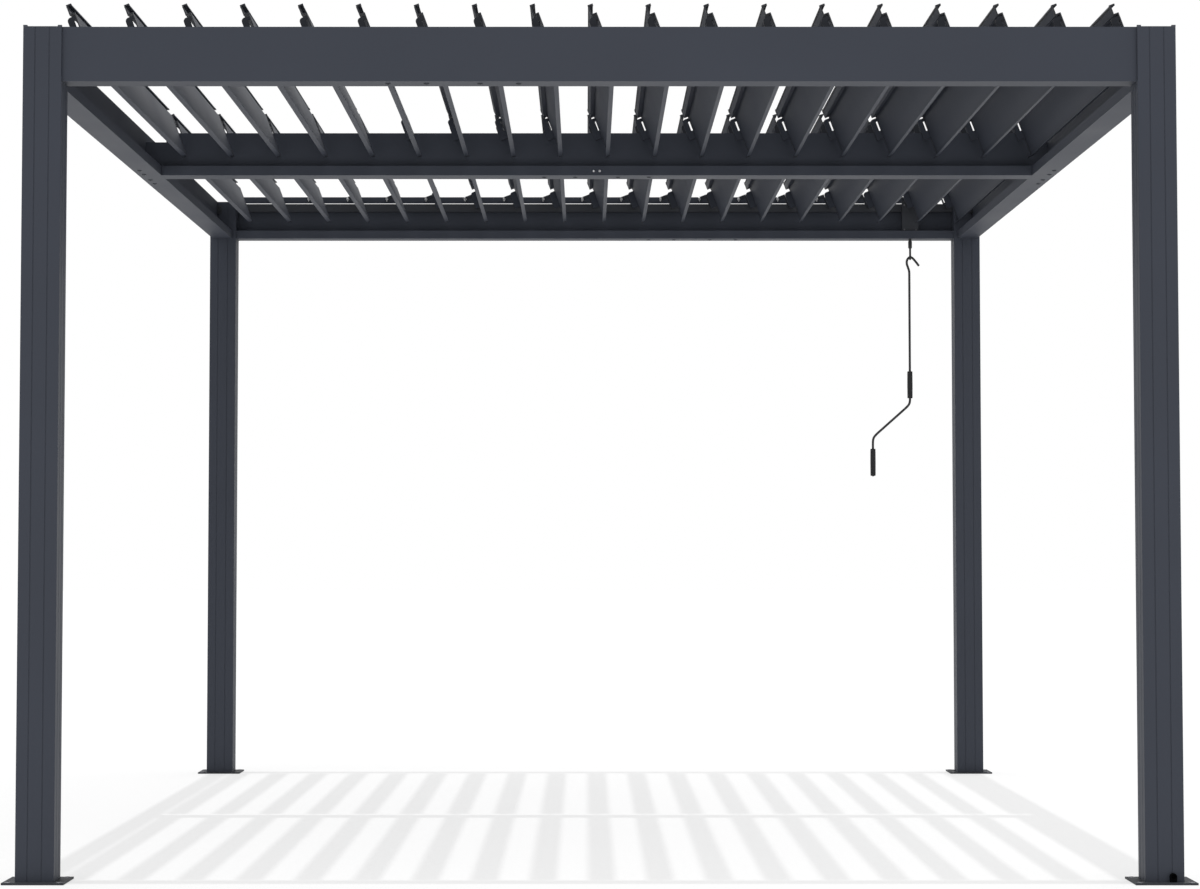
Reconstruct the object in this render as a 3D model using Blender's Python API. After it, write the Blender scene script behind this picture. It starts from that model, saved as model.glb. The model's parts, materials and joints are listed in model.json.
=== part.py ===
"""Free-standing louvered pergola, 3 m wide and 4 m deep.

Metres, +Z up. The origin is the centre of the footprint on the ground. The front faces -Y.
"""
import bpy
import bmesh
from math import cos, pi, radians, sin
from mathutils import Matrix, Vector

# Overall sizes
WIDTH = 3.000
DEPTH = 4.000
CLEAR_HEIGHT = 2.074
BEAM_DEPTH = 0.143
GAP = 0.0003

# Posts with their base plates and caps
POST = 0.100
POST_WALL = 0.0025
POST_CHAMFER = 0.0012
GROOVE_OFFSET = 0.0185
GROOVE_WIDTH = 0.003
GROOVE_DEPTH = 0.0012
BASE_PLATE = 0.160
BASE_PLATE_THICKNESS = 0.005
CAP_THICKNESS = 0.002
CAP_SKIRT = 0.020
CAP_SKIRT_WALL = 0.002
EAR_RISE = 0.0035
EAR_THICKNESS = 0.010
EAR_LENGTH = 0.010

# Edge beams: thin hollow web outside, water trough with a low lip inside
WEB = 0.018
WEB_WALL = 0.002
FLOOR = 0.003
LIP = 0.0025
LIP_HEIGHT = 0.031
FRONT_INSET = 0.009
SIDE_INSET = 0.010
FRONT_BEAM_WIDTH = 0.085
SIDE_BEAM_WIDTH = 0.075

# Middle beam: web in the middle, a trough on each side, thin ends that rest on the side beams
MIDDLE_WIDTH = 0.100
MIDDLE_WEB = 0.024
MIDDLE_WALL = 0.0025
MIDDLE_END_DROP = 0.030
SHOULDER_BACK = 0.0097

# Bearing rails
RAIL_HEIGHT = 0.0305
RAIL_THICKNESS = 0.0177
RAIL_BELOW_TOP = 0.002

# Louvre rows
LOUVRE_PITCH = 0.153
LOUVRE_EDGE = 0.120
ROW_SHIFT = 0.0018
PIVOT_BELOW_TOP = 0.00375
LEAN = radians(20.5)
BLADE_CLEARANCE = 0.005
FRONT_ROW_CLEARANCE = 0.013
REAR_ROW_CLEARANCE = 0.040

# Louvre section, seen along the shaft, with the pivot at 0, 0
SHEET = 0.002
FLANGE_X = -0.0015
FLANGE_Z = -0.0816
PLATE_X = 0.0111
SHOULDER_Z = 0.057
HOOK_X = -0.0017
HOOK_TOP_X = 0.0090
HOOK_TOP_Z = 0.0828
HOOK_TURN_DOWN = 0.0035
HOOK_CHAMFER_X = 0.0012
HOOK_CHAMFER_Z = 0.0015
SHEET_OVERLAP = 0.0005

# Louvre end plates, shafts, levers and pins
END_PLATE_THICKNESS = 0.0115
TAB_RADIUS = 0.0097
TAB_X = -0.004
TAB_Z = 0.040
REAR_TAB_DROP = 0.006
TAB_BOTTOM = -0.020
WINDOW_X = 0.0030
WINDOW_LOW = 0.007
WINDOW_HIGH = 0.0395
SHAFT_RADIUS = 0.004
SHAFT_SEAT = 0.006
SHAFT_CLEARANCE = 0.003
LEVER_INSET = 0.058
LEVER_THICKNESS = 0.006
LEVER_ARM = 0.0065
LEVER_ABOVE_PIN = 0.0090
LEVER_HUB = 0.009
LEVER_HUB_X = 0.0055
LEVER_STEM_LEFT = -0.015
LEVER_STEM_RIGHT = -0.009
PIN_RADIUS = 0.003
PIN_X = -0.0415
PIN_Z = 0.0355
PIN_CLEARANCE = 0.0004

# Link bar
LINK_INSET = 0.025
LINK_THICKNESS = 0.008
LINK_BELOW_PIN = 0.0118
LINK_ABOVE_PIN = 0.0123
LINK_OVERHANG = 0.012

# Gear box and crank
BOX_HALF_X = 0.031
BOX_HALF_Y = 0.012
BOX_ABOVE_BEAM = 0.005
BOX_SLOT_CLEARANCE = 0.0005
CRANK_OFFSET_X = 0.0052
CRANK_INSET_Y = 0.076
CRANK_DROP = 0.074
SOCKET_RADIUS = 0.0075
SOCKET_LENGTH = 0.0367
RING_Z = 0.003
RING_RADIUS = 0.0085
RING_BAR = 0.0025
CRANK_ROD_RADIUS = 0.004
CRANK_REACH = 0.149
CRANK_BEND = 0.156
GRIP_RADIUS = 0.010
GRIP_LENGTH = 0.105
GRIP_TOP = 0.444
GRIP_TO_BEND = 0.011
BEND_TO_GRIP = 0.030

# Drain outlet at the foot of the right front post
DRAIN_RADIUS = 0.0095
DRAIN_SIDE_HEIGHT = 0.0135
DRAIN_OFFSET = 0.020
DRAIN_LENGTH = 0.012

# Colours
ANTHRACITE = (0.055, 0.060, 0.072)
BLACK = (0.018, 0.018, 0.020)
GALVANISED = (0.42, 0.43, 0.45)

# Worked out from the sizes above
HALF_X = WIDTH / 2
HALF_Y = DEPTH / 2
POST_X = HALF_X - POST / 2
POST_Y = HALF_Y - POST / 2
BEAM_TOP = CLEAR_HEIGHT + BEAM_DEPTH
LIP_TOP = CLEAR_HEIGHT + LIP_HEIGHT
REACH_X = HALF_X - POST - GAP
REACH_Y = HALF_Y - POST - GAP
FRONT_WEB_Y = HALF_Y - FRONT_INSET - WEB
SIDE_WEB_X = HALF_X - SIDE_INSET - WEB
SIDE_LIP_X = HALF_X - SIDE_INSET - SIDE_BEAM_WIDTH
PIVOT_Z = BEAM_TOP - PIVOT_BELOW_TOP
NOTCH_RADIUS = SHAFT_RADIUS + GAP
LOUVRE_COUNT = int((WIDTH - 2 * LOUVRE_EDGE) / LOUVRE_PITCH) + 1
LEAD_LOUVRE = LOUVRE_COUNT // 2
DRIVEN_LOUVRE = LOUVRE_COUNT - 2
BLADE_END = HALF_Y - POST - BLADE_CLEARANCE
FRONT_ROW_END = -MIDDLE_WEB / 2 - FRONT_ROW_CLEARANCE
REAR_ROW_START = MIDDLE_WIDTH / 2 + REAR_ROW_CLEARANCE


def clear_scene():
    for obj in list(bpy.data.objects):
        bpy.data.objects.remove(obj, do_unlink=True)


def principled(name, colour, roughness, metallic):
    material = bpy.data.materials.new(name)
    material.use_nodes = True
    shader = material.node_tree.nodes["Principled BSDF"]
    shader.inputs["Base Color"].default_value = (*colour, 1.0)
    shader.inputs["Roughness"].default_value = roughness
    shader.inputs["Metallic"].default_value = metallic
    material.diffuse_color = (*colour, 1.0)
    return material


def add_object(name, mesh, finish):
    obj = bpy.data.objects.new(name, mesh)
    bpy.context.collection.objects.link(obj)
    colour, roughness, metallic = finish
    mesh.materials.clear()
    mesh.materials.append(principled(name + "_finish", colour, roughness, metallic))
    return obj


def finished_mesh(name, bm):
    bmesh.ops.recalc_face_normals(bm, faces=bm.faces[:])
    mesh = bpy.data.meshes.new(name)
    bm.to_mesh(mesh)
    bm.free()
    return mesh


def placed(a, b, along, axis):
    if axis == "X":
        return Vector((along, a, b))
    if axis == "Y":
        return Vector((a, along, b))
    return Vector((a, b, along))


def extrusion(name, loops, axis, low, high):
    """Extrude one outline, with any holes given as further loops, along an axis."""
    bm = bmesh.new()
    edges = []
    for loop in loops:
        verts = [bm.verts.new(placed(a, b, low, axis)) for a, b in loop]
        for i, vert in enumerate(verts):
            edges.append(bm.edges.new((vert, verts[(i + 1) % len(verts)])))
    bmesh.ops.triangle_fill(bm, use_beauty=True, edges=edges)
    result = bmesh.ops.extrude_face_region(bm, geom=bm.faces[:])
    moved = [item for item in result["geom"] if isinstance(item, bmesh.types.BMVert)]
    bmesh.ops.translate(bm, vec=placed(0, 0, high - low, axis), verts=moved)
    return finished_mesh(name, bm)


def box(name, low, high):
    bm = bmesh.new()
    bmesh.ops.create_cube(bm, size=1.0)
    for vert in bm.verts:
        for axis in range(3):
            vert.co[axis] = low[axis] if vert.co[axis] < 0 else high[axis]
    return finished_mesh(name, bm)


def rectangle(a_low, a_high, b_low, b_high):
    return [(a_low, b_low), (a_high, b_low), (a_high, b_high), (a_low, b_high)]


def arc(a, b, radius, start, end, steps):
    """Points on an arc from the start angle to the end angle, both included."""
    turns = [start + (end - start) * i / steps for i in range(steps + 1)]
    return [(a + radius * cos(turn), b + radius * sin(turn)) for turn in turns]


def circle(a, b, radius, sides, turn=0.0):
    return arc(a, b, radius, turn, turn + 2 * pi, sides)[:-1]


def joined(name, meshes, operation="UNION"):
    """Unite meshes, or cut the later ones from the first, into one closed mesh."""
    parts = []
    for mesh in meshes:
        part = bpy.data.objects.new("part_of_" + name, mesh)
        bpy.context.collection.objects.link(part)
        parts.append(part)
    base = parts[0]
    for tool in parts[1:]:
        modifier = base.modifiers.new("join", "BOOLEAN")
        modifier.operation = operation
        modifier.solver = "EXACT"
        modifier.object = tool
    graph = bpy.context.evaluated_depsgraph_get()
    mesh = bpy.data.meshes.new_from_object(base.evaluated_get(graph))
    mesh.name = name
    for part in parts:
        bpy.data.objects.remove(part, do_unlink=True)
    return mesh


def pivot_x(index):
    return ROW_SHIFT + LOUVRE_PITCH * (index - (LOUVRE_COUNT - 1) / 2)


def grooved_side(direction):
    """Points of one post side with its two shallow grooves, counter-clockwise."""
    half = POST / 2
    steps = [(-half + POST_CHAMFER, 0.0)]
    for groove in (-GROOVE_OFFSET, GROOVE_OFFSET):
        left = groove - GROOVE_WIDTH / 2
        right = groove + GROOVE_WIDTH / 2
        steps += [(left, 0.0), (left, GROOVE_DEPTH), (right, GROOVE_DEPTH), (right, 0.0)]
    steps.append((half - POST_CHAMFER, 0.0))
    points = []
    for along, inset in steps:
        out = half - inset
        points.append((direction[0] * out - direction[1] * along, direction[1] * out + direction[0] * along))
    return points


def make_posts():
    outline = []
    for direction in ((1, 0), (0, 1), (-1, 0), (0, -1)):
        outline += grooved_side(direction)
    inside = POST / 2 - POST_WALL
    hollow = rectangle(-inside, inside, -inside, inside)
    foot = BASE_PLATE_THICKNESS + GAP
    head = BEAM_TOP - CAP_THICKNESS - GAP
    plate_half = BASE_PLATE / 2
    for y_side, y_name in ((-1, "front"), (1, "rear")):
        for x_side, x_name in ((-1, "left"), (1, "right")):
            corner = f"{y_name}_{x_name}"
            place = (POST_X * x_side, POST_Y * y_side, 0)
            post = add_object("post_" + corner, extrusion("post", [outline, hollow], "Z", foot, head),
                              (ANTHRACITE, 0.42, 0.0))
            plate = add_object("base_plate_" + corner, box("plate", (-plate_half, -plate_half, 0),
                                                           (plate_half, plate_half, BASE_PLATE_THICKNESS)),
                               (ANTHRACITE, 0.45, 0.0))
            cap = add_object("post_cap_" + corner, cap_mesh(y_side), (BLACK, 0.55, 0.0))
            for obj in (post, plate, cap):
                obj.location = place


def cap_mesh(y_side):
    """Flat cap with a skirt that plugs the post and two small ears on its outer edge."""
    half = POST / 2
    plug = half - POST_WALL - GAP
    inner = plug - CAP_SKIRT_WALL
    underside = BEAM_TOP - CAP_THICKNESS
    inside_cap = BEAM_TOP - CAP_THICKNESS / 2
    plate = box("cap", (-half, -half, underside), (half, half, BEAM_TOP))
    skirt = extrusion("skirt", [rectangle(-plug, plug, -plug, plug), rectangle(-inner, inner, -inner, inner)],
                      "Z", underside - CAP_SKIRT, inside_cap)
    pieces = [plate, skirt]
    for x_side in (-1, 1):
        x_ends = sorted((half * x_side, (half - EAR_THICKNESS) * x_side))
        y_ends = sorted((half * y_side, (half - EAR_LENGTH) * y_side))
        pieces.append(box("ear", (x_ends[0], y_ends[0], inside_cap), (x_ends[1], y_ends[1], BEAM_TOP + EAR_RISE)))
    return joined("cap", pieces)


def beam_loops(outer, inner):
    """Profile of an edge beam between its outer face and the inner face of its lip."""
    side = 1 if inner > outer else -1
    web_in = outer + side * WEB
    lip_out = inner - side * LIP
    floor_top = CLEAR_HEIGHT + FLOOR
    outline = [(outer, CLEAR_HEIGHT), (inner, CLEAR_HEIGHT), (inner, LIP_TOP), (lip_out, LIP_TOP),
               (lip_out, floor_top), (web_in, floor_top), (web_in, BEAM_TOP), (outer, BEAM_TOP)]
    hollow_a, hollow_b = sorted((outer + side * WEB_WALL, web_in - side * WEB_WALL))
    hollow = rectangle(hollow_a, hollow_b, CLEAR_HEIGHT + WEB_WALL, BEAM_TOP - WEB_WALL)
    return [outline, hollow]


def make_edge_beams():
    finish = (ANTHRACITE, 0.42, 0.0)
    outer_y = HALF_Y - FRONT_INSET
    inner_y = outer_y - FRONT_BEAM_WIDTH
    outer_x = HALF_X - SIDE_INSET
    for side, name in ((-1, "front"), (1, "rear")):
        loops = beam_loops(side * outer_y, side * inner_y)
        add_object(f"beam_{name}", extrusion("beam", loops, "X", -REACH_X, REACH_X), finish)
    for side, name in ((-1, "left"), (1, "right")):
        loops = beam_loops(side * outer_x, side * SIDE_LIP_X)
        add_object(f"beam_{name}", extrusion("beam", loops, "Y", -REACH_Y, REACH_Y), finish)


def notched_top(reach, z_high):
    """Points of a top edge, from right to left, with a round-bottomed notch under each louvre shaft."""
    points = [(reach, z_high)]
    for index in reversed(range(LOUVRE_COUNT)):
        x = pivot_x(index)
        points.append((x + NOTCH_RADIUS, z_high))
        points += arc(x, PIVOT_Z, NOTCH_RADIUS, 0, -pi, 6)
        points.append((x - NOTCH_RADIUS, z_high))
    points.append((-reach, z_high))
    return points


def make_rails():
    top = BEAM_TOP - RAIL_BELOW_TOP
    bottom = top - RAIL_HEIGHT
    outline = [(-REACH_X, bottom), (REACH_X, bottom)] + notched_top(REACH_X, top)
    for side, name in ((-1, "front"), (1, "rear")):
        y_ends = sorted((side * (FRONT_WEB_Y - GAP), side * (FRONT_WEB_Y - GAP - RAIL_THICKNESS)))
        add_object(f"bearing_rail_{name}", extrusion("rail", [outline], "Y", *y_ends), (BLACK, 0.5, 0.0))


def make_middle_beam():
    half = MIDDLE_WIDTH / 2
    web = MIDDLE_WEB / 2
    lip_end = SIDE_LIP_X - GAP
    web_end = SIDE_WEB_X - GAP
    raised = LIP_TOP + GAP
    end_top = BEAM_TOP - MIDDLE_END_DROP
    shoulder = lip_end - SHOULDER_BACK
    right = [(lip_end, CLEAR_HEIGHT), (lip_end, raised), (web_end, raised), (web_end, end_top),
             (shoulder, end_top)]
    left = [(-x, z) for x, z in reversed(right)]
    pieces = [extrusion("middle", [right + notched_top(shoulder, BEAM_TOP) + left], "Y", -web, web)]
    for side in (-1, 1):
        near, far = sorted((side * (web - MIDDLE_WALL), side * half))
        lip_near, lip_far = sorted((side * (half - LIP), side * half))
        pieces.append(box("floor", (-lip_end, near, CLEAR_HEIGHT), (lip_end, far, CLEAR_HEIGHT + FLOOR)))
        pieces.append(box("lip", (-lip_end, lip_near, CLEAR_HEIGHT + FLOOR / 2), (lip_end, lip_far, LIP_TOP)))
    solid = joined("middle", pieces)
    inside = web - MIDDLE_WALL
    hollow = box("hollow", (-HALF_X, -inside, raised + MIDDLE_WALL), (HALF_X, inside, end_top - MIDDLE_WALL))
    add_object("beam_middle", joined("beam_middle", [solid, hollow], "DIFFERENCE"), (ANTHRACITE, 0.42, 0.0))


def strip(points, thickness):
    """Closed outline of a bent sheet from the middle line of its section."""
    left = []
    right = []
    for i, point in enumerate(points):
        here = Vector(point)
        before = (here - Vector(points[i - 1])).normalized() if i > 0 else None
        after = (Vector(points[i + 1]) - here).normalized() if i < len(points) - 1 else None
        before = before or after
        after = after or before
        normal_a = Vector((-before.y, before.x))
        normal_b = Vector((-after.y, after.x))
        mitre = (normal_a + normal_b).normalized()
        reach = thickness / 2 / mitre.dot(normal_a)
        left.append(tuple(here + mitre * reach))
        right.append(tuple(here - mitre * reach))
    return left + right[::-1]


def blade_outline():
    """Rain flange, main plate, shoulder and hooked top of a blade."""
    path = [(FLANGE_X, FLANGE_Z), (PLATE_X, FLANGE_Z), (PLATE_X, SHOULDER_Z), (HOOK_X, SHOULDER_Z),
            (HOOK_X, HOOK_TOP_Z - HOOK_CHAMFER_Z), (HOOK_X + HOOK_CHAMFER_X, HOOK_TOP_Z),
            (HOOK_TOP_X, HOOK_TOP_Z), (HOOK_TOP_X, HOOK_TOP_Z - HOOK_TURN_DOWN)]
    return strip(path, SHEET)


def end_plate_outline(behind_lever):
    """Rounded tab that carries the shaft, open between tab and blade except behind the lever."""
    seat = PLATE_X - SHEET_OVERLAP
    tab_z = TAB_Z - REAR_TAB_DROP if behind_lever else TAB_Z
    outline = [(TAB_X - TAB_RADIUS, TAB_BOTTOM), (seat, TAB_BOTTOM)]
    if not behind_lever:
        outline += [(seat, WINDOW_LOW), (WINDOW_X, WINDOW_LOW), (WINDOW_X, WINDOW_HIGH), (seat, WINDOW_HIGH)]
    outline.append((seat, tab_z + TAB_RADIUS))
    return outline + arc(TAB_X, tab_z, TAB_RADIUS, pi / 2, pi, 4)


def lever_outline():
    """Narrow crank plate from the shaft up and across to the link pin."""
    top = PIN_Z + LEVER_ABOVE_PIN
    bottom = PIN_Z - LEVER_ARM
    end = PIN_X - LEVER_ARM
    return [(LEVER_HUB_X, -LEVER_HUB), (LEVER_HUB_X, LEVER_HUB), (LEVER_STEM_RIGHT, LEVER_HUB),
            (LEVER_STEM_RIGHT, top), (end, top), (end, bottom), (LEVER_STEM_LEFT, bottom),
            (LEVER_STEM_LEFT, -LEVER_HUB)]


def louvre_mesh():
    """Two blades in line with their end plates, pivot shafts, lever and link pin."""
    pieces = []
    blade = blade_outline()
    shaft = circle(0, 0, SHAFT_RADIUS, 10, pi / 10)
    shaft_end = FRONT_WEB_Y - SHAFT_CLEARANCE
    for low, high in ((-BLADE_END, FRONT_ROW_END), (REAR_ROW_START, BLADE_END)):
        pieces.append(extrusion("blade", [blade], "Y", low, high))
        for inner, outer in ((low + SHEET_OVERLAP, END_PLATE_THICKNESS), (high - SHEET_OVERLAP, -END_PLATE_THICKNESS)):
            plate = end_plate_outline(behind_lever=inner > BLADE_END / 2)
            pieces.append(extrusion("plate", [plate], "Y", *sorted((inner, inner + outer))))
    for low, high in ((-shaft_end, SHAFT_SEAT - BLADE_END),
                      (FRONT_ROW_END - SHAFT_SEAT, REAR_ROW_START + SHAFT_SEAT),
                      (BLADE_END - SHAFT_SEAT, shaft_end)):
        pieces.append(extrusion("shaft", [shaft], "Y", low, high))
    lever_y = HALF_Y - LEVER_INSET
    pieces.append(extrusion("lever", [lever_outline()], "Y", lever_y, lever_y + LEVER_THICKNESS))
    pieces.append(extrusion("pin", [circle(PIN_X, PIN_Z, PIN_RADIUS, 8, pi / 8)], "Y",
                            lever_y + LEVER_THICKNESS / 2, HALF_Y - LINK_INSET - PIN_CLEARANCE))
    return joined("louvre", pieces)


def make_louvres():
    template = louvre_mesh()
    for index in range(LOUVRE_COUNT):
        obj = add_object(f"louvre_{index + 1:02d}", template.copy(), (ANTHRACITE, 0.42, 0.0))
        obj.location = (pivot_x(index), 0, PIVOT_Z)
        obj.rotation_euler = (0, -LEAN, 0)
    bpy.data.meshes.remove(template)


def make_link_bar():
    """Flat bar that ties the louvre levers together, resting ahead of the lever pins."""
    pin_offset = Matrix.Rotation(-LEAN, 3, "Y") @ Vector((PIN_X, 0, PIN_Z))
    lead = pivot_x(LEAD_LOUVRE)
    low = pivot_x(0) - lead - LINK_OVERHANG
    high = pivot_x(LOUVRE_COUNT - 1) - lead + LINK_OVERHANG
    near = HALF_Y - LINK_INSET
    bar = box("link_bar", (low, near, -LINK_BELOW_PIN), (high, near + LINK_THICKNESS, LINK_ABOVE_PIN))
    obj = add_object("link_bar", bar, (ANTHRACITE, 0.4, 0.0))
    obj.location = (lead + pin_offset.x, 0, PIVOT_Z + pin_offset.z)


def make_gear_box():
    """Housing that stands in the rear trough, open at the top where the driven shaft passes."""
    pivot = pivot_x(DRIVEN_LOUVRE)
    centre = pivot + CRANK_OFFSET_X
    slot = SHAFT_RADIUS + BOX_SLOT_CLEARANCE
    bottom = CLEAR_HEIGHT + FLOOR + GAP
    top = BEAM_TOP + BOX_ABOVE_BEAM
    outline = [(centre - BOX_HALF_X, bottom), (centre + BOX_HALF_X, bottom), (centre + BOX_HALF_X, top),
               (pivot + slot, top)]
    outline += arc(pivot, PIVOT_Z, slot, 0, -pi, 8)
    outline += [(pivot - slot, top), (centre - BOX_HALF_X, top)]
    middle = HALF_Y - CRANK_INSET_Y
    gear_box = extrusion("gear_box", [outline], "Y", middle - BOX_HALF_Y, middle + BOX_HALF_Y)
    add_object("gear_box", gear_box, (BLACK, 0.5, 0.0))


def tube_mesh(name, path, radius, sides):
    """Round bar along a path, its ends cut square."""
    bm = bmesh.new()
    side_dir = Vector((0, 1, 0))
    rings = []
    for i, point in enumerate(path):
        here = Vector(point)
        before = (here - Vector(path[i - 1])).normalized() if i > 0 else None
        after = (Vector(path[i + 1]) - here).normalized() if i < len(path) - 1 else None
        before = before or after
        after = after or before
        along = (before + after).normalized()
        across = side_dir.cross(along).normalized()
        stretch = 1 / max(0.5, along.dot(before))
        ring = []
        for k in range(sides):
            turn = 2 * pi * k / sides
            offset = across * (cos(turn) * stretch) + side_dir * sin(turn)
            ring.append(bm.verts.new(here + offset * radius))
        rings.append(ring)
    for first, second in zip(rings, rings[1:]):
        for k in range(sides):
            n = (k + 1) % sides
            bm.faces.new((first[k], first[n], second[n], second[k]))
    bm.faces.new(rings[0])
    bm.faces.new(rings[-1])
    return finished_mesh(name, bm)


def ring_mesh(name, centre_z, major, minor, sides, minor_sides):
    """Round ring standing in the Y and Z plane."""
    bm = bmesh.new()
    rings = []
    for i in range(sides):
        turn = 2 * pi * i / sides
        ring = []
        for k in range(minor_sides):
            small = 2 * pi * k / minor_sides
            reach = major + minor * cos(small)
            ring.append(bm.verts.new((minor * sin(small), reach * cos(turn), centre_z + reach * sin(turn))))
        rings.append(ring)
    for i in range(sides):
        for k in range(minor_sides):
            n = (k + 1) % minor_sides
            j = (i + 1) % sides
            bm.faces.new((rings[i][k], rings[i][n], rings[j][n], rings[j][k]))
    return finished_mesh(name, bm)


def crank_path():
    """Middle line of the crank rod: hook through the ring, straight shank, offset bend, handle."""
    under_ring = RING_Z - RING_RADIUS + RING_BAR + CRANK_ROD_RADIUS
    hook = [(0.033, under_ring - 0.031), (0.018, under_ring - 0.011), (0.006, under_ring),
            (-0.004, under_ring), (-0.0125, under_ring - 0.009), (-0.0130, under_ring - 0.023),
            (-0.006, under_ring - 0.039), (0, under_ring - 0.053)]
    bend_top = -GRIP_TOP - GRIP_LENGTH - GRIP_TO_BEND
    bend_low = bend_top - CRANK_BEND
    bottom = bend_low - BEND_TO_GRIP - GRIP_LENGTH
    bend = [(0, bend_top), (-0.003, bend_top - 0.012), (-0.012, bend_top - 0.023),
            (0.013 - CRANK_REACH, bend_low + 0.026), (0.003 - CRANK_REACH, bend_low + 0.014),
            (-CRANK_REACH, bend_low), (-CRANK_REACH, bottom)]
    return [(x, 0, z) for x, z in hook + bend]


def make_grip(name, x, top):
    bore = circle(x, 0, CRANK_ROD_RADIUS + GAP, 16)
    grip = extrusion("grip", [circle(x, 0, GRIP_RADIUS, 20), bore], "Z", top - GRIP_LENGTH, top)
    return add_object(name, grip, (BLACK, 0.6, 0.0))


def make_crank():
    """Eye under the gear box with the hooked crank rod and its two turning grips."""
    turn_centre = bpy.data.objects.new("crank_axis", None)
    bpy.context.collection.objects.link(turn_centre)
    turn_centre.location = (pivot_x(DRIVEN_LOUVRE) + CRANK_OFFSET_X, HALF_Y - CRANK_INSET_Y,
                            CLEAR_HEIGHT - CRANK_DROP)
    socket_top = CRANK_DROP - GAP
    socket_low = socket_top - SOCKET_LENGTH
    ring_top = RING_Z + RING_RADIUS
    socket = extrusion("socket", [circle(0, 0, SOCKET_RADIUS, 16)], "Z", socket_low, socket_top)
    neck = extrusion("neck", [circle(0, 0, CRANK_ROD_RADIUS, 10)], "Z", ring_top, socket_low + 0.003)
    ring = ring_mesh("ring", RING_Z, RING_RADIUS, RING_BAR, 16, 8)
    steel = (GALVANISED, 0.4, 0.8)
    bend_low = -GRIP_TOP - GRIP_LENGTH - GRIP_TO_BEND - CRANK_BEND
    pieces = [add_object("crank_eye", joined("eye", [socket, neck, ring]), steel),
              add_object("crank_rod", tube_mesh("rod", crank_path(), CRANK_ROD_RADIUS, 10), steel),
              make_grip("crank_grip_upper", 0, -GRIP_TOP),
              make_grip("crank_grip_lower", -CRANK_REACH, bend_low - BEND_TO_GRIP)]
    for obj in pieces:
        obj.parent = turn_centre


def make_drain_outlet():
    """Short spout with a square foot and a round top, on the front face of the right front post."""
    x = POST_X + DRAIN_OFFSET
    foot = BASE_PLATE_THICKNESS + GAP
    spring = foot + DRAIN_SIDE_HEIGHT
    outline = [(x - DRAIN_RADIUS, foot), (x + DRAIN_RADIUS, foot)] + arc(x, spring, DRAIN_RADIUS, 0, pi, 10)
    outlet = extrusion("outlet", [outline], "Y", -HALF_Y - DRAIN_LENGTH, -HALF_Y - GAP)
    add_object("drain_outlet", outlet, (BLACK, 0.6, 0.0))


clear_scene()
make_posts()
make_edge_beams()
make_middle_beam()
make_rails()
make_louvres()
make_link_bar()
make_gear_box()
make_crank()
make_drain_outlet()
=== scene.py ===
"""Looks of the louvered pergola: finishes, seals, fasteners, crank, floor, light and camera.

Metres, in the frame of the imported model: +Z up, the front faces -Y, the ground is Z = 0.
"""
import json
from math import cos, pi, radians, sin
import bmesh
import bpy
from mathutils import Matrix, Vector


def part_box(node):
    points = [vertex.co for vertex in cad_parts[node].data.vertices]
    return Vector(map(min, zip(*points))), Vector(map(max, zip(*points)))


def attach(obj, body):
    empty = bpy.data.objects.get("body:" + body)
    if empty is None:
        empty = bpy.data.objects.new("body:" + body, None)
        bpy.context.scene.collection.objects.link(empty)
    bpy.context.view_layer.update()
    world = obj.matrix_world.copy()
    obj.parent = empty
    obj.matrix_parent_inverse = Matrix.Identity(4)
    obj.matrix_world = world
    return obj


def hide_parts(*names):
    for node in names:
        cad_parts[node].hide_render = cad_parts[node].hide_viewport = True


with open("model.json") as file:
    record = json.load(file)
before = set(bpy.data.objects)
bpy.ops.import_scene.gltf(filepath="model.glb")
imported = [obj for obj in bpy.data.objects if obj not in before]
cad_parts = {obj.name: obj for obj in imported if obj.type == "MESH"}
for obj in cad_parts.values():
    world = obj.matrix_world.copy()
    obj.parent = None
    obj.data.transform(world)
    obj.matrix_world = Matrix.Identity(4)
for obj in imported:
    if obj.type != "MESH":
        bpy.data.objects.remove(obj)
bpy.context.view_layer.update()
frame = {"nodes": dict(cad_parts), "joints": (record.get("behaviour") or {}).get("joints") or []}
nodes = frame["nodes"]

# Colours, linear
ANTHRACITE = (0.050, 0.056, 0.072)
CAP_GREY = (0.028, 0.031, 0.038)
# Spout colour: partly the spout's own black plastic, partly painted shade, as it also darkens the bore's
# closed bottom to stand in for the dark hole
SPOUT_BLACK_AND_HOLE_SHADE = (0.003, 0.003, 0.0035)
RUBBER = (0.015, 0.0155, 0.017)
PLATE_GREY = (0.036, 0.039, 0.046)
COATED_STEEL = (0.045, 0.045, 0.047)
DULL_STEEL = (0.20, 0.20, 0.215)
BRIGHT_ZINC = (0.88, 0.88, 0.89)

# Texture scales, in marks per metre, and gloss of the powder coat
CLOUD_SCALE = 2.2
PEEL_SCALE = 260
GRAIN_SCALE = 1400
DIE_LINES_ACROSS = 120
DIE_LINES_ALONG = 0.6
POWDER_GLOSS = 0.12

# Camera, fitted to the posts and beams of the photograph
CAMERA_PLACE = (-0.035, -9.7475, 0.844)
CAMERA_PITCH = radians(93.05)
CAMERA_LENS = 90.0
CAMERA_SHIFT = (0.0117, -0.0417)

# Light and floor
SKY_LEVEL = 0.90
SUN_LEVEL = 1.25
SUN_SPREAD = radians(0.7)
SUN_HEIGHT = 6.0
FLOOR_SEEN = 0.34
FLOOR_GLOW = 0.61
FLOOR_BOUNCE = 0.80
FLOOR_HALF = 60.0
FLOOR_DROP = 0.001

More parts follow.
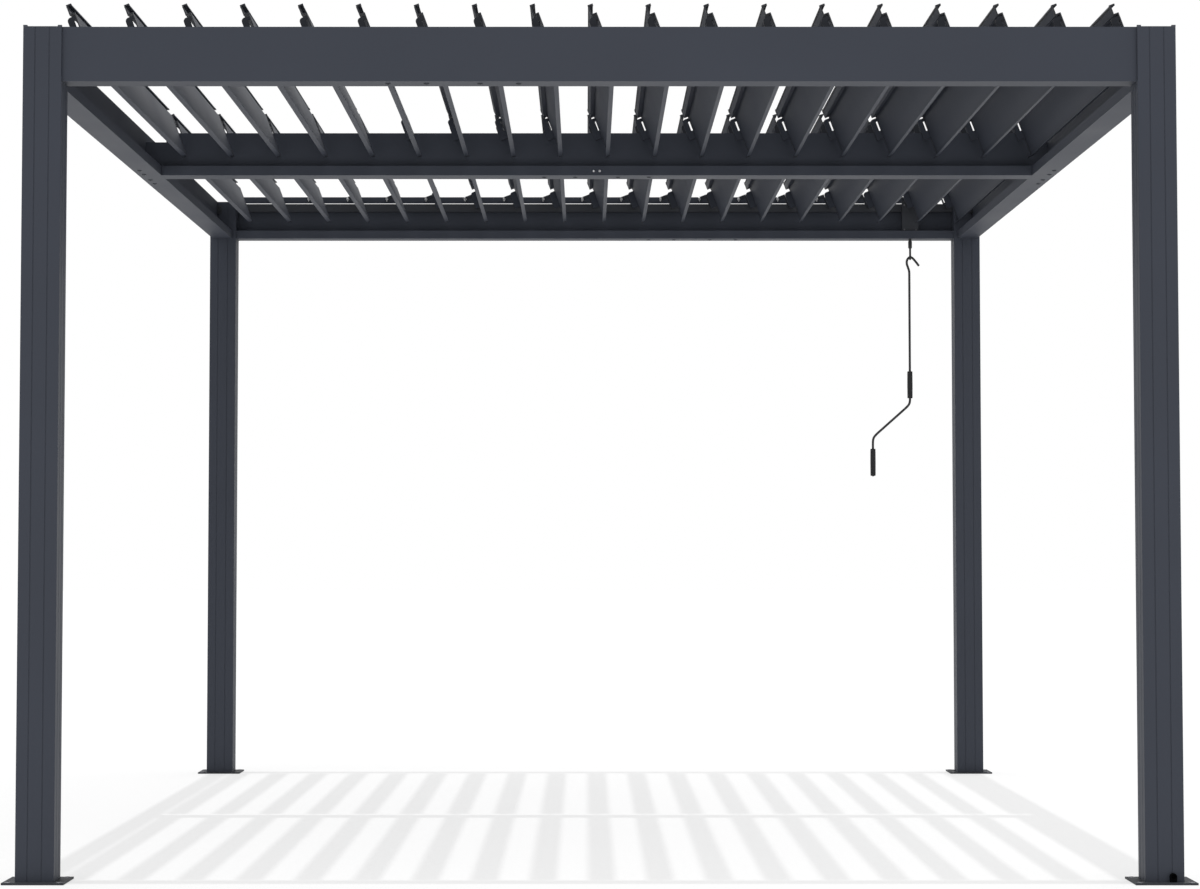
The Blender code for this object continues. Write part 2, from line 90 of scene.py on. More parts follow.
# Louvre section, in its own frame: x along the blade's thickness, z along its width
LEAN = radians(20.5)
SHEET = 0.002
FLANGE_X = -0.0015
FLANGE_Z = -0.0816
PLATE_X = 0.0111
SHOULDER_Z = 0.057
HOOK_X = -0.0017
HOOK_TOP_X = 0.0090
HOOK_TOP_Z = 0.0828
HOOK_TURN_DOWN = 0.0035
FRONT_ROW_END = -0.025
REAR_ROW_START = 0.090
BLADE_END = 1.895
CAP_LENGTH = 0.0115
RIM_THICKNESS = 0.0034
SHAFT_RADIUS = 0.004
PIN_X = -0.0415
PIN_Z = 0.0355
LEVER_FRONT = 1.942

# Rims of the end caps, and the collar and bolt of a link pin as (radius, height) points
RIM_PROUD = 0.0006
PIN_COLLAR = ((0.0052, -0.0003), (0.0052, 0.0012), (0.0046, 0.0018))
PIN_BOLT = ((0.0018, 0), (0.0022, 0.0006), (0.0022, 0.0060), (0.0043, 0.0062), (0.0045, 0.0068),
            (0.0045, 0.0132), (0.0040, 0.0138))
PIN_BOLT_BACK = 0.0034
PIN_BOLT_DOWN = 0.0083

# Gasket on the hook
GASKET_Z = 0.0780
GASKET_HALF = 0.0024
GASKET_PROUD = 0.0016
GASKET_INSET = 0.001

# Socket screws; heads are a share of the radius high, and seated pieces sink in a little
SEATED = 0.0002
SCREW_SIDES = 24
SOCKET_WIDE = 0.42
SOCKET_DEEP = 0.75
HEAD_PROFILE = ((1.0, 0.25), (0.94, 0.6), (0.78, 0.92), (0.60, 1.0))
ANCHOR_REACH = 0.065
ANCHOR_RADIUS = 0.0095
ANCHOR_HEAD = 0.16
SPLICE_RADIUS = 0.0075
SPLICE_HEAD = 0.35
SPLICE_SPACING = (0.070, 0.171)
FRONT_SPLICE_X = -0.382
REAR_SPLICE_X = 0.380
SPLICE_Y = 1.952
SIDE_SPLICE_X = 1.468
LIP_SCREW_X = 0.0098
LIP_SCREW_Z = 2.088
SCREW_RADIUS = 0.0040
SCREW_HEAD = 0.6
GEAR_SCREW_INSET = 0.008
GEAR_SCREW_RADIUS = SCREW_RADIUS * 0.8
GEAR_SCREW_HEAD = 0.625

# Angle brackets in the corners of the roof
BRACKET_WIDTH = 0.016
BRACKET_HEIGHT = 0.032
BRACKET_LEG = 0.022
BRACKET_PLATE = 0.003
BRACKET_BELOW_TOP = 0.012
BRACKET_SCREW_X = 0.62
BRACKET_SCREW_Z = (0.27, 0.73)
SIDE_WEB = 0.018

# Bushings on the louvre shafts
BUSHING_PLAY = 0.0003
BUSHING_RADIUS = 0.0082
BUSHING_THICKNESS = 0.0017
BUSHING_EDGE = 0.0005

# Crank, from its turning centre
SOCKET_TOP = 0.0737
SOCKET_LOW = 0.0370
SOCKET_RADIUS = 0.0075
RING_Z = 0.003
RING_RADIUS = 0.0085
RING_BAR = 0.0036
ROD_RADIUS = 0.0045
SHANK_X = -0.0036
NECK_RADIUS = 0.0040
GRIP_RADIUS = 0.0105
GRIP_LENGTH = 0.105
UPPER_GRIP_TOP = -0.444
LOWER_GRIP_TOP = -0.746
CRANK_REACH = 0.149
ROD_SIDES = 20
ROD_CORNER_CUT = 0.006
EYE_PROFILE = ((0.0062, SOCKET_TOP), (0.0062, 0.0655), (SOCKET_RADIUS - 0.0004, 0.0648),
               (SOCKET_RADIUS, 0.0640), (SOCKET_RADIUS, 0.0412), (0.0072, 0.0392), (0.0062, 0.0376),
               (0.0050, SOCKET_LOW),
               (0.0043, 0.0365), (NECK_RADIUS, 0.0350), (NECK_RADIUS, RING_Z + RING_RADIUS))
GRIP_PROFILE = ((0, 0.80), (0.0006, 0.90), (0.0022, 0.95), (0.012, 0.97))

# Drain spout
SPOUT_HALF = 0.0088
SPOUT_BORE = SPOUT_HALF * 0.72
SPOUT_STEPS = 32
SPOUT_EDGE = 0.0006
SPOUT_EASED = 0.96
SPOUT_BORE_SHORT = 0.002

corners = ("front_left", "front_right", "rear_left", "rear_right")
louvre_count = sum(1 for name in nodes if name.startswith("louvre_"))
louvre_names = [f"louvre_{i + 1:02d}" for i in range(louvre_count)]
pivots = {joint["child"]: Vector(joint["pos_m"]) for joint in frame["joints"]}
finish = {}


def link(obj):
    bpy.context.scene.collection.objects.link(obj)
    return obj


# Materials

def node_tree(name):
    """A new material's nodes and links, with its shader."""
    material = bpy.data.materials.new(name)
    material.use_nodes = True
    tree = material.node_tree
    return material, tree.nodes, tree.links, tree.nodes["Principled BSDF"]


def noise(tree_nodes, links, vector, scale, detail=3.0, roughness=0.55):
    texture = tree_nodes.new("ShaderNodeTexNoise")
    texture.inputs["Scale"].default_value = scale
    texture.inputs["Detail"].default_value = detail
    texture.inputs["Roughness"].default_value = roughness
    links.new(vector, texture.inputs["Vector"])
    return texture.outputs["Fac"]


def spread(tree_nodes, links, value, low, high, dark=0.3, light=0.7):
    """Turn noise between dark and light into a value from low to high."""
    ramp = tree_nodes.new("ShaderNodeMapRange")
    ramp.inputs["From Min"].default_value = dark
    ramp.inputs["From Max"].default_value = light
    ramp.inputs["To Min"].default_value = low
    ramp.inputs["To Max"].default_value = high
    links.new(value, ramp.inputs["Value"])
    return ramp.outputs["Result"]


def tinted(tree_nodes, links, factor, colour, low, high):
    """A colour that drifts between low and high times itself."""
    mix = tree_nodes.new("ShaderNodeMix")
    mix.data_type = "RGBA"
    mix.inputs["A"].default_value = (*[c * low for c in colour], 1.0)
    mix.inputs["B"].default_value = (*[c * high for c in colour], 1.0)
    links.new(factor, mix.inputs["Factor"])
    return mix.outputs["Result"]


def bumped(tree_nodes, links, height, strength, distance, under=None):
    bump = tree_nodes.new("ShaderNodeBump")
    bump.inputs["Strength"].default_value = strength
    bump.inputs["Distance"].default_value = distance
    links.new(height, bump.inputs["Height"])
    if under is not None:
        links.new(under, bump.inputs["Normal"])
    return bump.outputs["Normal"]


def stretched(tree_nodes, links, scale):
    """Object coordinates scaled per axis, for marks that run along a profile."""
    coordinates = tree_nodes.new("ShaderNodeTexCoord")
    mapping = tree_nodes.new("ShaderNodeMapping")
    mapping.inputs["Scale"].default_value = scale
    links.new(coordinates.outputs["Object"], mapping.inputs["Vector"])
    return mapping.outputs["Vector"]


def math(tree_nodes, links, operation, first, second):
    """One Math node; a number goes on the socket, an output is linked."""
    node = tree_nodes.new("ShaderNodeMath")
    node.operation = operation
    for socket, value in zip(node.inputs, (first, second)):
        if isinstance(value, (int, float)):
            socket.default_value = value
        elif value is not None:
            links.new(value, socket)
    return node.outputs[0]


def blade_ends(tree_nodes, links, vector):
    """1 on the moulded caps at the four blade ends and on what lies beyond them, 0 on the blades."""
    axes = tree_nodes.new("ShaderNodeSeparateXYZ")
    links.new(vector, axes.inputs[0])
    away = math(tree_nodes, links, "ABSOLUTE", axes.outputs["Y"], None)
    outer = math(tree_nodes, links, "GREATER_THAN", away, BLADE_END - CAP_LENGTH)
    gap_middle = (FRONT_ROW_END + REAR_ROW_START) / 2
    from_gap = math(tree_nodes, links, "ABSOLUTE",
                    math(tree_nodes, links, "SUBTRACT", axes.outputs["Y"], gap_middle), None)
    inner = math(tree_nodes, links, "LESS_THAN", from_gap, REAR_ROW_START - gap_middle + CAP_LENGTH)
    return math(tree_nodes, links, "ADD", outer, inner)


def powder_coat(name, colour, along, roughness=0.54, capped=False):
    """Satin powder coat on a profile: orange peel, fine grain and faint die lines along its length."""
    material, tree_nodes, links, shader = node_tree(name)
    plain = stretched(tree_nodes, links, (1, 1, 1))
    scales = tuple(DIE_LINES_ALONG if axis == along else DIE_LINES_ACROSS for axis in "XYZ")
    lines = stretched(tree_nodes, links, scales)
    cloud = noise(tree_nodes, links, plain, CLOUD_SCALE, 2.0)
    grain = noise(tree_nodes, links, plain, GRAIN_SCALE, 2.0)
    peel = noise(tree_nodes, links, plain, PEEL_SCALE, 2.0)
    streaks = noise(tree_nodes, links, lines, 1.0, 2.0)
    tone = math(tree_nodes, links, "ADD", spread(tree_nodes, links, cloud, 0.0, 0.55),
                spread(tree_nodes, links, grain, 0.0, 0.45))
    coat = tinted(tree_nodes, links, tone, colour, 0.93, 1.07)
    if capped:
        ends = tree_nodes.new("ShaderNodeMix")
        ends.data_type = "RGBA"
        links.new(blade_ends(tree_nodes, links, plain), ends.inputs["Factor"])
        links.new(coat, ends.inputs["A"])
        ends.inputs["B"].default_value = (*CAP_GREY, 1.0)
        coat = ends.outputs["Result"]
    links.new(coat, shader.inputs["Base Color"])
    dullness = spread(tree_nodes, links, cloud, roughness - 0.03, roughness + 0.04)
    links.new(dullness, shader.inputs["Roughness"])
    shader.inputs["Specular IOR Level"].default_value = POWDER_GLOSS
    die_lines = bumped(tree_nodes, links, streaks, 0.10, 0.0004)
    orange = bumped(tree_nodes, links, peel, 0.10, 0.0003, die_lines)
    links.new(bumped(tree_nodes, links, grain, 0.12, 0.0001, orange), shader.inputs["Normal"])
    return material


def moulded(name, colour, roughness, scale=900, strength=0.2, gloss=0.35):
    """Matt moulded plastic or rubber with a fine spark texture."""
    material, tree_nodes, links, shader = node_tree(name)
    plain = stretched(tree_nodes, links, (1, 1, 1))
    spark = noise(tree_nodes, links, plain, scale, 3.0)
    drift = noise(tree_nodes, links, plain, 14, 2.0)
    links.new(tinted(tree_nodes, links, drift, colour, 0.8, 1.25), shader.inputs["Base Color"])
    dullness = spread(tree_nodes, links, drift, roughness - 0.06, roughness + 0.06)
    links.new(dullness, shader.inputs["Roughness"])
    shader.inputs["Specular IOR Level"].default_value = gloss
    links.new(bumped(tree_nodes, links, spark, strength, 0.0002), shader.inputs["Normal"])
    return material


def plated(name, colour, roughness, stretch):
    """Zinc-plated or galvanised steel: cloudy tone, drawn streaks, a few dull spots."""
    material, tree_nodes, links, shader = node_tree(name)
    plain = stretched(tree_nodes, links, (1, 1, 1))
    drawn = stretched(tree_nodes, links, stretch)
    clouds = noise(tree_nodes, links, plain, 60, 4.0)
    streaks = noise(tree_nodes, links, drawn, 1.0, 3.0)
    links.new(tinted(tree_nodes, links, clouds, colour, 0.78, 1.15), shader.inputs["Base Color"])
    dullness = spread(tree_nodes, links, streaks, roughness - 0.08, roughness + 0.10)
    links.new(dullness, shader.inputs["Roughness"])
    shader.inputs["Metallic"].default_value = 1.0
    links.new(bumped(tree_nodes, links, streaks, 0.15, 0.0001), shader.inputs["Normal"])
    return material


def make_finishes():
    finish["posts"] = powder_coat("powder_coat_posts", ANTHRACITE, "Z")
    finish["cross"] = powder_coat("powder_coat_cross_beams", ANTHRACITE, "X")
    finish["sides"] = powder_coat("powder_coat_side_beams", ANTHRACITE, "Y")
    finish["plates"] = powder_coat("powder_coat_base_plates", PLATE_GREY, "X", 0.60)
    finish["louvres"] = powder_coat("powder_coat_louvres", ANTHRACITE, "Y", 0.55, capped=True)
    finish["rails"] = moulded("anthracite_plastic", ANTHRACITE, 0.5)
    finish["caps"] = moulded("moulded_caps", CAP_GREY, 0.55)
    finish["spout"] = moulded("spout_black_and_painted_hole_shade", SPOUT_BLACK_AND_HOLE_SHADE, 0.8, gloss=0.02)
    finish["rubber"] = moulded("rubber", RUBBER, 0.62, 1200, 0.3)
    finish["rod"] = powder_coat("coated_rod", COATED_STEEL, "Z", 0.40)
    finish["dull"] = plated("dull_steel", DULL_STEEL, 0.45, (40, 40, 400))
    finish["zinc"] = plated("bright_zinc", BRIGHT_ZINC, 0.28, (300, 300, 30))


def dress(names, material):
    for name in names:
        slots = nodes[name].data.materials
        slots.clear()
        slots.append(material)


def dress_frame():
    dress(["post_" + corner for corner in corners], finish["posts"])
    dress(["base_plate_" + corner for corner in corners], finish["plates"])
    dress(["beam_front", "beam_rear", "beam_middle", "link_bar"], finish["cross"])
    dress(["beam_left", "beam_right"], finish["sides"])
    dress(["post_cap_" + corner for corner in corners], finish["rails"])
    dress(["bearing_rail_front", "bearing_rail_rear"], finish["caps"])
    dress(["gear_box"], finish["caps"])
    dress(["drain_outlet"], finish["spout"])
    dress(louvre_names, finish["louvres"])
    dress(["crank_eye", "crank_rod"], finish["rod"])
    dress(["crank_grip_upper", "crank_grip_lower"], finish["rubber"])


# Shapes

def around(sides):
    """Cosine and sine at equal steps round a circle."""
    return [(cos(2 * pi * k / sides), sin(2 * pi * k / sides)) for k in range(sides)]


def aimed(place, direction, turn=0.0):
    """A placing matrix whose Z points along a direction."""
    facing = Vector(direction).to_track_quat("Z", "Y").to_matrix().to_4x4()
    return Matrix.Translation(Vector(place)) @ facing @ Matrix.Rotation(turn, 4, "Z")


def skinned(bm, rings, closed=False):
    """Faces between rings of points; open runs of rings get a face at each end."""
    rings = [[bm.verts.new(point) for point in ring] for ring in rings]
    pairs = list(zip(rings, rings[1:]))
    if closed:
        pairs.append((rings[-1], rings[0]))
    for first, second in pairs:
        for k in range(len(first)):
            n = (k + 1) % len(first)
            bm.faces.new((first[k], first[n], second[n], second[k]))
    if not closed:
        bm.faces.new(rings[0])
        bm.faces.new(rings[-1])


def turned(bm, at, profile, sides, closed=False):
    """Solid of revolution about the matrix's Z from (radius, height) points."""
    skinned(bm, [[at @ Vector((radius * across, radius * up, height)) for across, up in around(sides)]
                 for radius, height in profile], closed)


def prism(bm, at, outline, low, high):
    """Straight run of an (x, z) outline along the matrix's Y."""
    skinned(bm, [[at @ Vector((x, along, z)) for x, z in outline] for along in (low, high)])


def piece(name, bm, material, body, smooth=radians(35)):
    """Finish one visible piece: mesh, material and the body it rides."""
    bmesh.ops.recalc_face_normals(bm, faces=bm.faces[:])
    mesh = bpy.data.meshes.new(name)
    bm.to_mesh(mesh)
    bm.free()
    mesh.materials.append(material)
    mesh.shade_smooth()
    mesh.set_sharp_from_angle(angle=smooth)
    obj = link(bpy.data.objects.new(name, mesh))
    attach(obj, body)
    return obj


def strip(points, thickness):
    """Closed outline of a bent sheet from the middle line of its section."""
    left = []
    right = []
    for i, point in enumerate(points):
        here = Vector(point)
        before = (here - Vector(points[i - 1])).normalized() if i > 0 else None
        after = (Vector(points[i + 1]) - here).normalized() if i < len(points) - 1 else None
        before = before or after
        after = after or before
        normal_a = Vector((-before.y, before.x))
        normal_b = Vector((-after.y, after.x))
        mitre = (normal_a + normal_b).normalized()
        reach = thickness / 2 / mitre.dot(normal_a)
        left.append(tuple(here + mitre * reach))
        right.append(tuple(here - mitre * reach))
    return left + right[::-1]


def oval(x, z, half_x, half_z, sides=10):
    return [(x + half_x * across, z + half_z * up) for across, up in around(sides)]


# Fasteners

def add_socket_screw(bm, place, direction, radius, height, turn=0.0):
    """Low rounded head with a hexagon socket sunk in its crown."""
    at = aimed(place, direction, turn)
    rings = []
    for share, level in ((1.0, -SEATED), *((share, height * rise) for share, rise in HEAD_PROFILE)):
        rings.append([at @ Vector((radius * share * across, radius * share * up, level))
                      for across, up in around(SCREW_SIDES)])
    for level in (height, height * (1 - SOCKET_DEEP)):
        ring = []
        for k, (across, up) in enumerate(around(SCREW_SIDES)):
            to_flat = radius * SOCKET_WIDE / cos((2 * pi * k / SCREW_SIDES + pi / 6) % (pi / 3) - pi / 6)
            ring.append(at @ Vector((to_flat * across, to_flat * up, level)))
        rings.append(ring)
    skinned(bm, rings)


def make_anchor_bolts():
    """Four flush screws in every base plate."""
    for corner in corners:
        low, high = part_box("base_plate_" + corner)
        x, y = (low[0] + high[0]) / 2, (low[1] + high[1]) / 2
        bm = bmesh.new()
        for i, (x_side, y_side) in enumerate(((-1, -1), (1, -1), (1, 1), (-1, 1))):
            place = (x + x_side * ANCHOR_REACH, y + y_side * ANCHOR_REACH, high[2])
            turn = 0.4 + 0.7 * i
            add_socket_screw(bm, place, (0, 0, 1), ANCHOR_RADIUS, ANCHOR_RADIUS * ANCHOR_HEAD, turn)
        piece("anchor_bolts_" + corner, bm, finish["dull"], "frame")


def make_splice_bolts():
    """Four bolts under each beam where its two halves are joined."""
    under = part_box("beam_front")[0][2]
    rows = {"front": [(FRONT_SPLICE_X, -SPLICE_Y), (1, 0)],
            "middle": [(0.0, 0.0), (1, 0)],
            "rear": [(REAR_SPLICE_X, SPLICE_Y), (1, 0)],
            "left": [(-SIDE_SPLICE_X, 0.0), (0, 1)],
            "right": [(SIDE_SPLICE_X, 0.0), (0, 1)]}
    for name, ((x, y), (x_way, y_way)) in rows.items():
        bm = bmesh.new()
        for spacing in SPLICE_SPACING:
            for side in (-1, 1):
                place = (x + side * spacing * x_way, y + side * spacing * y_way, under)
                turn = spacing * 9 + side
                add_socket_screw(bm, place, (0, 0, -1), SPLICE_RADIUS, SPLICE_RADIUS * SPLICE_HEAD, turn)
        piece("splice_bolts_" + name, bm, finish["caps"], "frame")


def make_lip_screws():
    """Two bright screws side by side in the cross beam's front lip."""
    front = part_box("beam_middle")[0][1]
    bm = bmesh.new()
    for side in (-1, 1):
        place = (side * LIP_SCREW_X, front, LIP_SCREW_Z)
        add_socket_screw(bm, place, (0, -1, 0), SCREW_RADIUS, SCREW_RADIUS * SCREW_HEAD)
    piece("lip_screws", bm, finish["zinc"], "frame")


def make_gear_box_screws():
    """Four screws in the gear box's front."""
    low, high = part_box("gear_box")
    height = GEAR_SCREW_RADIUS * GEAR_SCREW_HEAD
    bm = bmesh.new()
    for x in (low[0] + GEAR_SCREW_INSET, high[0] - GEAR_SCREW_INSET):
        for z in (low[2] + 4 * GEAR_SCREW_INSET, high[2] - 2 * GEAR_SCREW_INSET):
            add_socket_screw(bm, (x, low[1], z), (0, -1, 0), GEAR_SCREW_RADIUS, height)
    piece("gear_box_screws", bm, finish["dull"], "frame")


def make_corner_brackets():
    """Angle brackets that hold the side beams to the posts, in the troughs."""
    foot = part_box("post_front_left")[1][2] - BRACKET_BELOW_TOP - BRACKET_HEIGHT
    outline = [(SEATED, SEATED), (BRACKET_WIDTH, SEATED), (BRACKET_WIDTH, BRACKET_PLATE),
               (BRACKET_PLATE, BRACKET_PLATE), (BRACKET_PLATE, BRACKET_LEG), (SEATED, BRACKET_LEG)]
    left_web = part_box("beam_left")[0][0] + SIDE_WEB
    right_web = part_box("beam_right")[1][0] - SIDE_WEB
    for corner in corners:
        low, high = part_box("post_" + corner)
        y_side = 1 if "front" in corner else -1
        x_side = 1 if "left" in corner else -1
        face = high[1] if y_side > 0 else low[1]
        web = left_web if x_side > 0 else right_web
        bm = bmesh.new()
        at = Matrix.Translation((web, face, foot)) @ Matrix.Diagonal((x_side, y_side, 1, 1))
        skinned(bm, [[at @ Vector((x, y, z)) for x, y in outline] for z in (0, BRACKET_HEIGHT)])
        for share in BRACKET_SCREW_Z:
            centre = at @ Vector((BRACKET_WIDTH * BRACKET_SCREW_X, BRACKET_PLATE, BRACKET_HEIGHT * share))
            add_socket_screw(bm, centre, (0, y_side, 0), SCREW_RADIUS, SCREW_RADIUS * SCREW_HEAD)
        piece("corner_bracket_" + corner, bm, finish["caps"], "frame")


def make_bushings():
    """Flanged nylon bushing round each shaft where it enters a bearing rail."""
    inner = SHAFT_RADIUS + BUSHING_PLAY
    profile = [(inner, -SEATED), (BUSHING_RADIUS, -SEATED), (BUSHING_RADIUS, BUSHING_THICKNESS - BUSHING_EDGE),
               (BUSHING_RADIUS - BUSHING_EDGE, BUSHING_THICKNESS), (inner, BUSHING_THICKNESS)]
    for side, name in ((-1, "front"), (1, "rear")):
        low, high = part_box("bearing_rail_" + name)
        face = low[1] if side > 0 else high[1]
        bm = bmesh.new()
        for i in range(louvre_count):
            pivot = pivots[f"louvre_body_{i + 1:02d}"]
            at = aimed((pivot.x, face, pivot.z), (0, -side, 0))
            turned(bm, at, profile, 20, closed=True)
        piece("shaft_bushings_" + name, bm, finish["caps"], "frame")


# Louvres

def blade_path():
    """Middle line of the blade's sheet: lower flange, plate, shoulder and hook."""
    return [(FLANGE_X, FLANGE_Z), (PLATE_X, FLANGE_Z), (PLATE_X, SHOULDER_Z), (HOOK_X, SHOULDER_Z),
            (HOOK_X, HOOK_TOP_Z), (HOOK_TOP_X, HOOK_TOP_Z), (HOOK_TOP_X, HOOK_TOP_Z - HOOK_TURN_DOWN)]


def make_louvre_trim(index):
    """Gaskets, rims of the end caps and the link-pin bolt of one louvre."""
    body = f"louvre_body_{index:02d}"
    at = Matrix.Translation((pivots[body].x, 0, pivots[body].z)) @ Matrix.Rotation(-LEAN, 4, "Y")
    rows = ((-BLADE_END, FRONT_ROW_END), (REAR_ROW_START, BLADE_END))
    seal = bmesh.new()
    outline = oval(HOOK_X - SHEET / 2, GASKET_Z, GASKET_PROUD, GASKET_HALF)
    for low, high in rows:
        prism(seal, at, outline, low + GASKET_INSET, high - GASKET_INSET)
    piece(f"gasket_{index:02d}", seal, finish["rubber"], body, radians(50))
    rims = bmesh.new()
    rim = strip(blade_path(), RIM_THICKNESS)
    for low, high in rows:
        prism(rims, at, rim, low - RIM_PROUD, low + CAP_LENGTH)
        prism(rims, at, rim, high - CAP_LENGTH, high + RIM_PROUD)
    piece(f"end_caps_{index:02d}", rims, finish["caps"], body)
    pin = bmesh.new()
    seat = at @ Vector((PIN_X, LEVER_FRONT, PIN_Z))
    turned(pin, aimed(seat, (0, -1, 0)), PIN_COLLAR, 20)
    turned(pin, aimed(seat - Vector((0, PIN_BOLT_BACK, PIN_BOLT_DOWN)), (0, 0, 1)), PIN_BOLT, 16)
    piece(f"link_pin_bolt_{index:02d}", pin, finish["zinc"], body)


# Crank

def softened(points, cut, passes):
    """Cut every corner of a path a few times, so that it bends smoothly."""
    for _ in range(passes):
        smooth = [points[0]]
        for before, here, after in zip(points, points[1:], points[2:]):
            for other in (before, after):
                way = other - here
                smooth.append(here + way * min(0.25, cut / way.length))
        smooth.append(points[-1])
        points = smooth
        cut *= 0.5
    return points


def tube_rings(points, radius, sides):
    """Rings of a round bar along a path in the X and Z plane, with rounded ends."""
    across_y = Vector((0, 1, 0))
    rings = []
    last = len(points) - 1
    for i, here in enumerate(points):
        before = (here - points[i - 1]).normalized() if i > 0 else (points[1] - here).normalized()
        after = (points[i + 1] - here).normalized() if i < last else before
        along = (before + after).normalized()
        across = across_y.cross(along).normalized()
        for reach, scale in (((-0.55, 0.55), (-0.2, 0.9), (0, 1)) if i == 0 else
                             ((0, 1), (0.2, 0.9), (0.55, 0.55)) if i == last else ((0, 1),)):
            centre = here + along * radius * reach
            rings.append([centre + (across * a + across_y * b) * radius * scale for a, b in around(sides)])
    return rings


def crank_points():
    """Middle line of the rod: hook through the ring, shank, offset bend, handle."""
    hook = [(0.033, -0.030), (0.018, -0.010), (0.006, 0.0026), (-0.004, 0.0026), (-0.0125, -0.008),
            (-0.0140, -0.022), (-0.0085, -0.038), (SHANK_X, -0.052)]
    bend_top = UPPER_GRIP_TOP - GRIP_LENGTH - 0.011
    bend_low = LOWER_GRIP_TOP + 0.030
    bend = [(SHANK_X, bend_top), (SHANK_X - 0.003, bend_top - 0.012), (SHANK_X - 0.012, bend_top - 0.023),
            (0.013 - CRANK_REACH, bend_low + 0.026), (0.003 - CRANK_REACH, bend_low + 0.014),
            (-CRANK_REACH, bend_low), (-CRANK_REACH, LOWER_GRIP_TOP - GRIP_LENGTH)]
    return [Vector((x, 0, z)) for x, z in hook + bend]


def make_crank():
    """Smooth rod, eye and grips in place of the plain ones."""
    centre = pivots["crank"]
    rod = bmesh.new()
    place = Matrix.Translation(centre)
    path = softened(crank_points(), ROD_CORNER_CUT, 3)
    skinned(rod, [[place @ point for point in ring] for ring in tube_rings(path, ROD_RADIUS, ROD_SIDES)])
    obj = piece("crank_rod_smooth", rod, finish["rod"], "crank")
    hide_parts("crank_rod")
    eye = bmesh.new()
    turned(eye, place, EYE_PROFILE, 28)
    ring_centre = centre + Vector((0, 0, RING_Z))
    skinned(eye, [[ring_centre + Vector((0, y, z)) * (RING_RADIUS + RING_BAR * outward)
                   + Vector((RING_BAR * sideways, 0, 0)) for outward, sideways in around(14)]
                  for y, z in around(36)], closed=True)
    obj = piece("crank_eye_smooth", eye, finish["rod"], "crank")
    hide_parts("crank_eye")
    for name, x, top in (("upper", SHANK_X, UPPER_GRIP_TOP), ("lower", -CRANK_REACH, LOWER_GRIP_TOP)):
        grip = bmesh.new()
        profile = [(GRIP_RADIUS * share, height) for height, share in GRIP_PROFILE]
        profile.append((GRIP_RADIUS, GRIP_LENGTH / 2))
        profile += [(radius, GRIP_LENGTH - height) for radius, height in profile[-2::-1]]
        at = Matrix.Translation(centre + Vector((x, 0, top - GRIP_LENGTH)))
        turned(grip, at, profile, 32)
        obj = piece(f"crank_grip_{name}_smooth", grip, finish["rubber"], "crank", radians(50))
        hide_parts("crank_grip_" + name)


def make_drain_spout():
    """Arch-shaped spout with a bore open at the front. The bore ends in a closed face just short of the back,
    and the spout's near-black there is painted shade standing in for the hole's depth.
    """
    low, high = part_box("drain_outlet")
    x = (low[0] + high[0]) / 2
    spring = high[2] - SPOUT_HALF
    outer = []
    for across, up in around(SPOUT_STEPS):
        reach = 1.0 if up >= 0 else 1 / max(abs(across), abs(up) * SPOUT_HALF / (spring - low[2]))
        outer.append((x + SPOUT_HALF * across * reach, spring + SPOUT_HALF * up * reach))
    eased = [(x + (a - x) * SPOUT_EASED, spring + (b - spring) * SPOUT_EASED) for a, b in outer]
    inner = oval(x, spring, SPOUT_BORE, SPOUT_BORE, SPOUT_STEPS)
    front, back = low[1], high[1]
    loops = ((outer, back), (outer, front + SPOUT_EDGE), (eased, front), (inner, front),
             (inner, back - SPOUT_BORE_SHORT))
    bm = bmesh.new()
    # The last loop closes the bore with a face just short of the back; its near-black is painted shade for the
    # hole's depth
    skinned(bm, [[Vector((a, y, b)) for a, b in loop] for loop, y in loops])
    obj = piece("drain_spout", bm, finish["spout"], "frame")
    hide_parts("drain_outlet")


# Floor, light, camera

def background_rays(tree_nodes, links):
    """1 on the rays that show the background: seen straight on, in a reflection or through glass."""
    path = tree_nodes.new("ShaderNodeLightPath")
    camera_ray, glossy_ray = path.outputs["Is Camera Ray"], path.outputs["Is Glossy Ray"]
    either = math(tree_nodes, links, "MAXIMUM", camera_ray, glossy_ray)
    return math(tree_nodes, links, "MAXIMUM", either, path.outputs["Is Transmission Ray"])


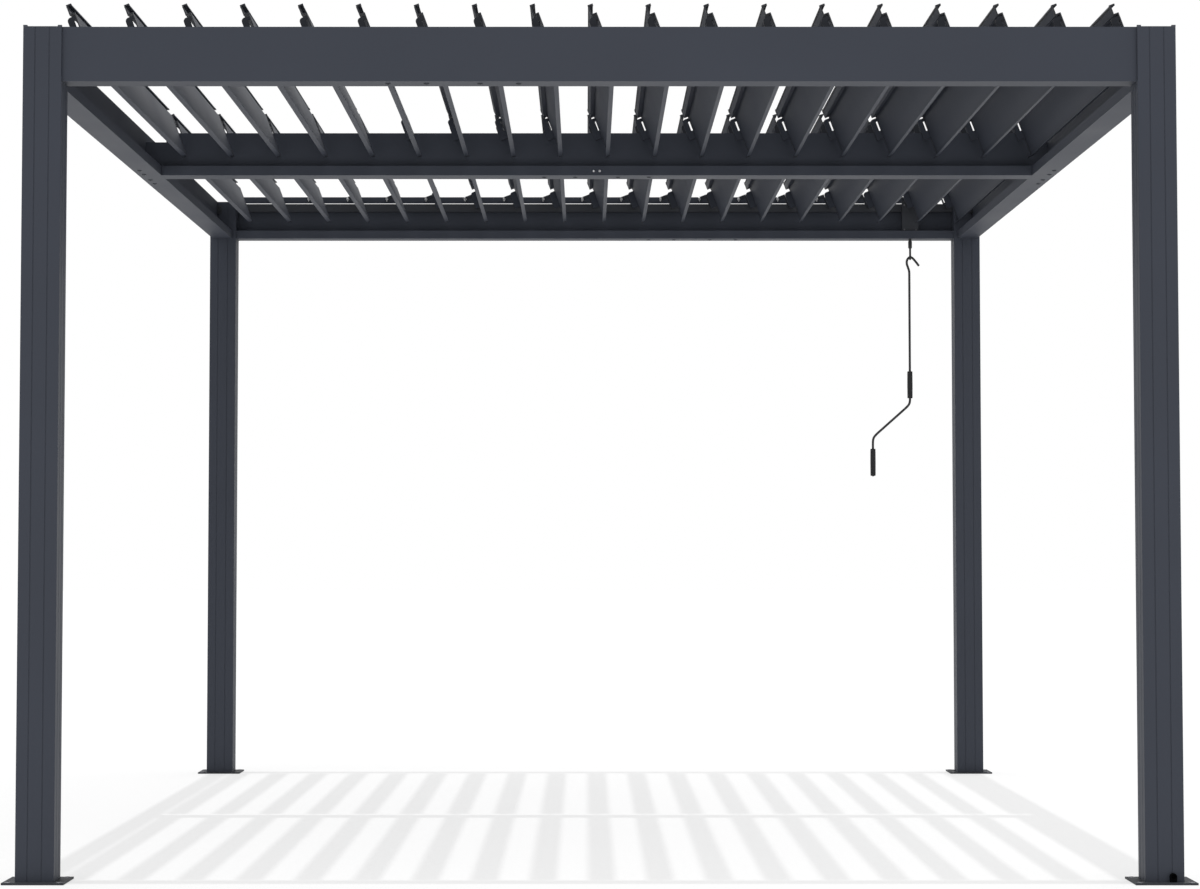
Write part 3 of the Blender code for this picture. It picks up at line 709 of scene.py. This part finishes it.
def make_floor():
    """White floor that keeps the sun's shadow and fades into the white background."""
    bm = bmesh.new()
    bmesh.ops.create_grid(bm, x_segments=1, y_segments=1, size=FLOOR_HALF)
    mesh = bpy.data.meshes.new("floor")
    bm.to_mesh(mesh)
    bm.free()
    floor = link(bpy.data.objects.new("floor", mesh))
    floor.location.z = -FLOOR_DROP
    material, tree_nodes, links, shader = node_tree("floor_white")
    shader.inputs["Base Color"].default_value = (FLOOR_SEEN, FLOOR_SEEN, FLOOR_SEEN, 1)
    shader.inputs["Roughness"].default_value = 1.0
    shader.inputs["Specular IOR Level"].default_value = 0.0
    glow = tree_nodes.new("ShaderNodeEmission")
    glow.inputs["Strength"].default_value = FLOOR_GLOW
    seen = tree_nodes.new("ShaderNodeAddShader")
    links.new(shader.outputs[0], seen.inputs[0])
    links.new(glow.outputs[0], seen.inputs[1])
    bounce = tree_nodes.new("ShaderNodeBsdfDiffuse")
    bounce.inputs["Color"].default_value = (FLOOR_BOUNCE, FLOOR_BOUNCE, FLOOR_BOUNCE, 1)
    mix = tree_nodes.new("ShaderNodeMixShader")
    links.new(background_rays(tree_nodes, links), mix.inputs[0])
    links.new(bounce.outputs[0], mix.inputs[1])
    links.new(seen.outputs[0], mix.inputs[2])
    links.new(mix.outputs[0], tree_nodes["Material Output"].inputs["Surface"])
    mesh.materials.append(material)


def make_light():
    """White sky all round and a soft-edged sun straight overhead."""
    world = bpy.data.worlds.new("white_studio")
    bpy.context.scene.world = world
    world.use_nodes = True
    tree = world.node_tree
    background = tree.nodes["Background"]
    background.inputs["Color"].default_value = (1, 1, 1, 1)
    seen = background_rays(tree.nodes, tree.links)
    level = spread(tree.nodes, tree.links, seen, SKY_LEVEL, 1.0, 0.0, 1.0)
    tree.links.new(level, background.inputs["Strength"])
    lamp = bpy.data.lights.new("sun_overhead", "SUN")
    lamp.energy = SUN_LEVEL
    lamp.angle = SUN_SPREAD
    sun = link(bpy.data.objects.new("sun_overhead", lamp))
    sun.location = (0, 0, SUN_HEIGHT)


def make_camera():
    """The photograph's viewpoint."""
    data = bpy.data.cameras.new("camera")
    data.lens = CAMERA_LENS
    data.sensor_width = 36.0
    data.shift_x, data.shift_y = CAMERA_SHIFT
    camera = link(bpy.data.objects.new("camera", data))
    camera.location = CAMERA_PLACE
    camera.rotation_euler = (CAMERA_PITCH, 0, 0)
    bpy.context.scene.camera = camera


bpy.context.scene.view_settings.view_transform = "Standard"
make_finishes()
dress_frame()
make_anchor_bolts()
make_splice_bolts()
make_lip_screws()
make_gear_box_screws()
make_corner_brackets()
make_bushings()
for index in range(1, louvre_count + 1):
    make_louvre_trim(index)
make_crank()
make_drain_spout()
make_floor()
make_light()
make_camera()
